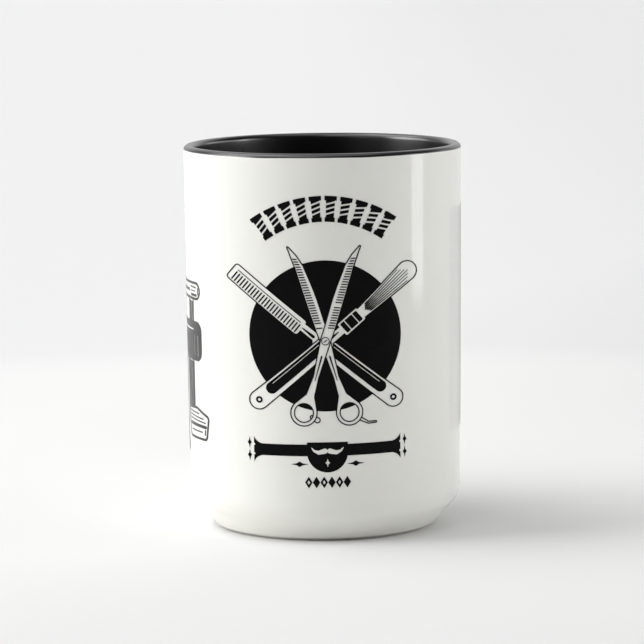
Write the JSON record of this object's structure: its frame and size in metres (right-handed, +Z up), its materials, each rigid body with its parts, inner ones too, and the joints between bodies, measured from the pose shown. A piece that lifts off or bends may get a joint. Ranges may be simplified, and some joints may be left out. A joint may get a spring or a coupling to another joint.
{
  "type": "shaving mug",
  "caption": "Straight-sided two-tone ceramic shaving mug: white outside, black inside and on the lip, loop handle, printed barber tools.",
  "frame": {"origin": "on the cup's axis, in the plane of the foot ring", "axes": "+Z up along the cup's axis; the main print faces -Y and the handle is at +Y; +X is to the right seen from the front"},
  "size_m": [0.085, 0.1198, 0.1174],
  "materials": {
    "clay": "matte",
    "slip": "matte",
    "white_glaze": "gloss",
    "black_glaze": "gloss",
    "black_ink": "gloss",
    "pale_ink": "gloss"
  },
  "bodies": {
    "root": {"mug_body": "clay", "handle": "clay", "upper_handle_joint": "slip", "lower_handle_joint": "slip", "white_glaze": "white_glaze", "black_liner_glaze": "black_glaze", "base_glaze": "white_glaze", "handle_glaze": "black_glaze", "print_disc": "black_ink", "print_comb": "black_ink", "print_brush": "black_ink", "print_scissors": "black_ink", "print_arch": "black_ink", "print_banner": "black_ink", "print_lozenges": "black_ink", "print_diamond_row": "black_ink", "print_chair": "black_ink", "print_side_panel": "pale_ink"}
  },
  "joints": []
}
